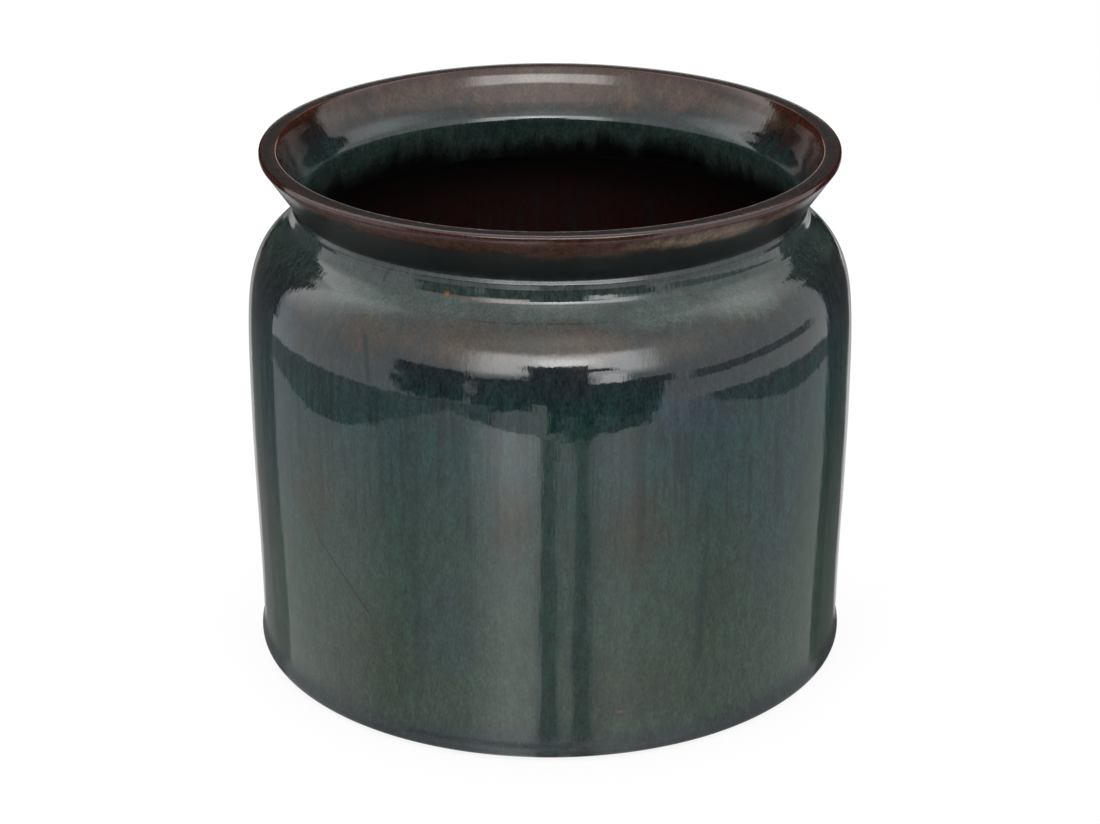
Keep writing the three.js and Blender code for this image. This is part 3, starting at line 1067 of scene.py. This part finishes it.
def clay_material(grain):
    """Bare fired clay on the foot ring and under the base."""
    material, tree = blank_material("bare_stoneware")
    place = put(tree, "ShaderNodeTexCoord").outputs["Object"]
    speckle = use(tree, grain, Place=place, Size=0.0009, Depth=0.5)
    stain = put(tree, "ShaderNodeTexNoise", {"Vector": place, "Scale": 45.0, "Detail": 3.0})
    colour = blend(tree, stain.outputs["Fac"], (0.2, 0.1, 0.05, 1), (0.34, 0.21, 0.12, 1))
    show(tree, put(tree, "ShaderNodeBsdfPrincipled", {
        "Base Color": vectors(tree, "MULTIPLY", colour, speckle["Shade"])[0],
        "Roughness": 0.8, "Normal": bump(tree, speckle["Height"], 0.12)}))
    return material


def felt_material(streaks, grain):
    """Pressed grey-brown felt."""
    material, tree = blank_material("grey_felt")
    place = put(tree, "ShaderNodeTexCoord").outputs["Object"]
    fibres = use(tree, streaks, Place=place, Width=0.0003, Length=0.0018, Shift=5.0,
                 Low=0.35, High=0.65)["Streak"]
    fluff = use(tree, grain, Place=place, Size=0.0004, Depth=0.4)
    colour = blend(tree, fibres, (0.045, 0.036, 0.03, 1), (0.12, 0.1, 0.085, 1))
    show(tree, put(tree, "ShaderNodeBsdfPrincipled", {
        "Base Color": vectors(tree, "MULTIPLY", colour, fluff["Shade"])[0],
        "Roughness": 0.95, "Sheen Weight": 0.3, "Normal": bump(tree, fibres, 0.15)}))
    return material


# ---- Felt pads ----------------------------------------------------------------------------

PAD_COUNT = 4
PAD_RADIUS = 8
PAD_THICKNESS = 3.1
PAD_EDGE = 0.4
PAD_PITCH_RADIUS = 99.25
PAD_STEPS = 64                # facets round a pad
PAD_EDGE_STEPS = 4
PAD_RINGS = 4                 # rings of faces across the flat of a pad


def make_pad(material):
    """A punched disc of felt, soft at its edge, on the pot's axis with its underside at 0."""
    bpy.ops.object.select_all(action="DESELECT")
    bpy.ops.mesh.primitive_cylinder_add(vertices=PAD_STEPS, radius=PAD_RADIUS * MM,
                                        depth=PAD_THICKNESS * MM,
                                        location=(0, 0, PAD_THICKNESS * MM / 2))
    pad = bpy.context.object
    bpy.ops.object.transform_apply(location=True)
    applied(pad, "BEVEL", width=PAD_EDGE * MM, segments=PAD_EDGE_STEPS)
    bpy.ops.object.mode_set(mode="EDIT")
    bpy.ops.mesh.select_mode(type="FACE")
    bpy.ops.object.mode_set(mode="OBJECT")
    for face in pad.data.polygons:
        face.select = len(face.vertices) > 4
    bpy.ops.object.mode_set(mode="EDIT")
    for _ in range(PAD_RINGS):
        bpy.ops.mesh.inset(thickness=PAD_RADIUS * MM / (PAD_RINGS + 1))
    bpy.ops.mesh.poke()
    bpy.ops.object.mode_set(mode="OBJECT")
    bpy.ops.object.shade_smooth()
    pad.data.materials.append(material)
    return pad


def make_pads(material):
    """The pads, each a copy of the first, spread evenly inside the foot ring."""
    pads = [make_pad(material)]
    for _ in range(PAD_COUNT - 1):
        pad = pads[0].copy()
        pad.data = pads[0].data.copy()
        bpy.context.collection.objects.link(pad)
        pads.append(pad)
    for i, pad in enumerate(pads):
        pad.name = pad.data.name = f"pad_{i + 1}"
        angle = (i + 0.5) * 2 * math.pi / PAD_COUNT
        only(pad)
        bpy.ops.transform.translate(value=(PAD_PITCH_RADIUS * MM * math.cos(angle),
                                           PAD_PITCH_RADIUS * MM * math.sin(angle), 0))
        bpy.ops.object.transform_apply(location=True)
        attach(pad, "root")
        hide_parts(f"felt_pad_{i + 1}")


# ---- Making it all ------------------------------------------------------------------------

CLAY_EDGE = 2                 # the glaze stops this far short of the rounded foot
LINER_START = 20              # past the throat, the glaze of the inside is dry

GLAZED, DRY, BARE = range(3)  # the pot's materials, in order


def finish_at(along):
    """Which of its materials the pot has at a place along the outline."""
    if along < MARKS["foot"] - CLAY_EDGE:
        return BARE
    under_rim = MARKS["waist"] < along < MARKS["lip"]
    return DRY if under_rim or along > MARKS["throat"] + LINER_START else GLAZED


def make_pot(glaze, dry_glaze, clay):
    pot = turn_body()
    shape_glaze(pot)
    for material in (glaze, dry_glaze, clay):
        pot.data.materials.append(material)
    along = pot.data.attributes["along"].data
    for face in pot.data.polygons:
        middle = sum(along[i].value for i in face.vertices) / len(face.vertices) / MM
        face.material_index = finish_at(middle)
    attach(pot, "root")
    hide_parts("pot_body")


make_camera()
make_world()
make_studio()
streaks, grain, marks = streaks_effect(), grain_effect(), mark_effect()
make_pot(glaze_material("reactive_glaze", streaks, grain, marks, 0.5),
         glaze_material("dry_glaze", streaks, grain, marks, 0.2), clay_material(grain))
make_pads(felt_material(streaks, grain))

bpy.context.scene.view_settings.view_transform = "Standard"
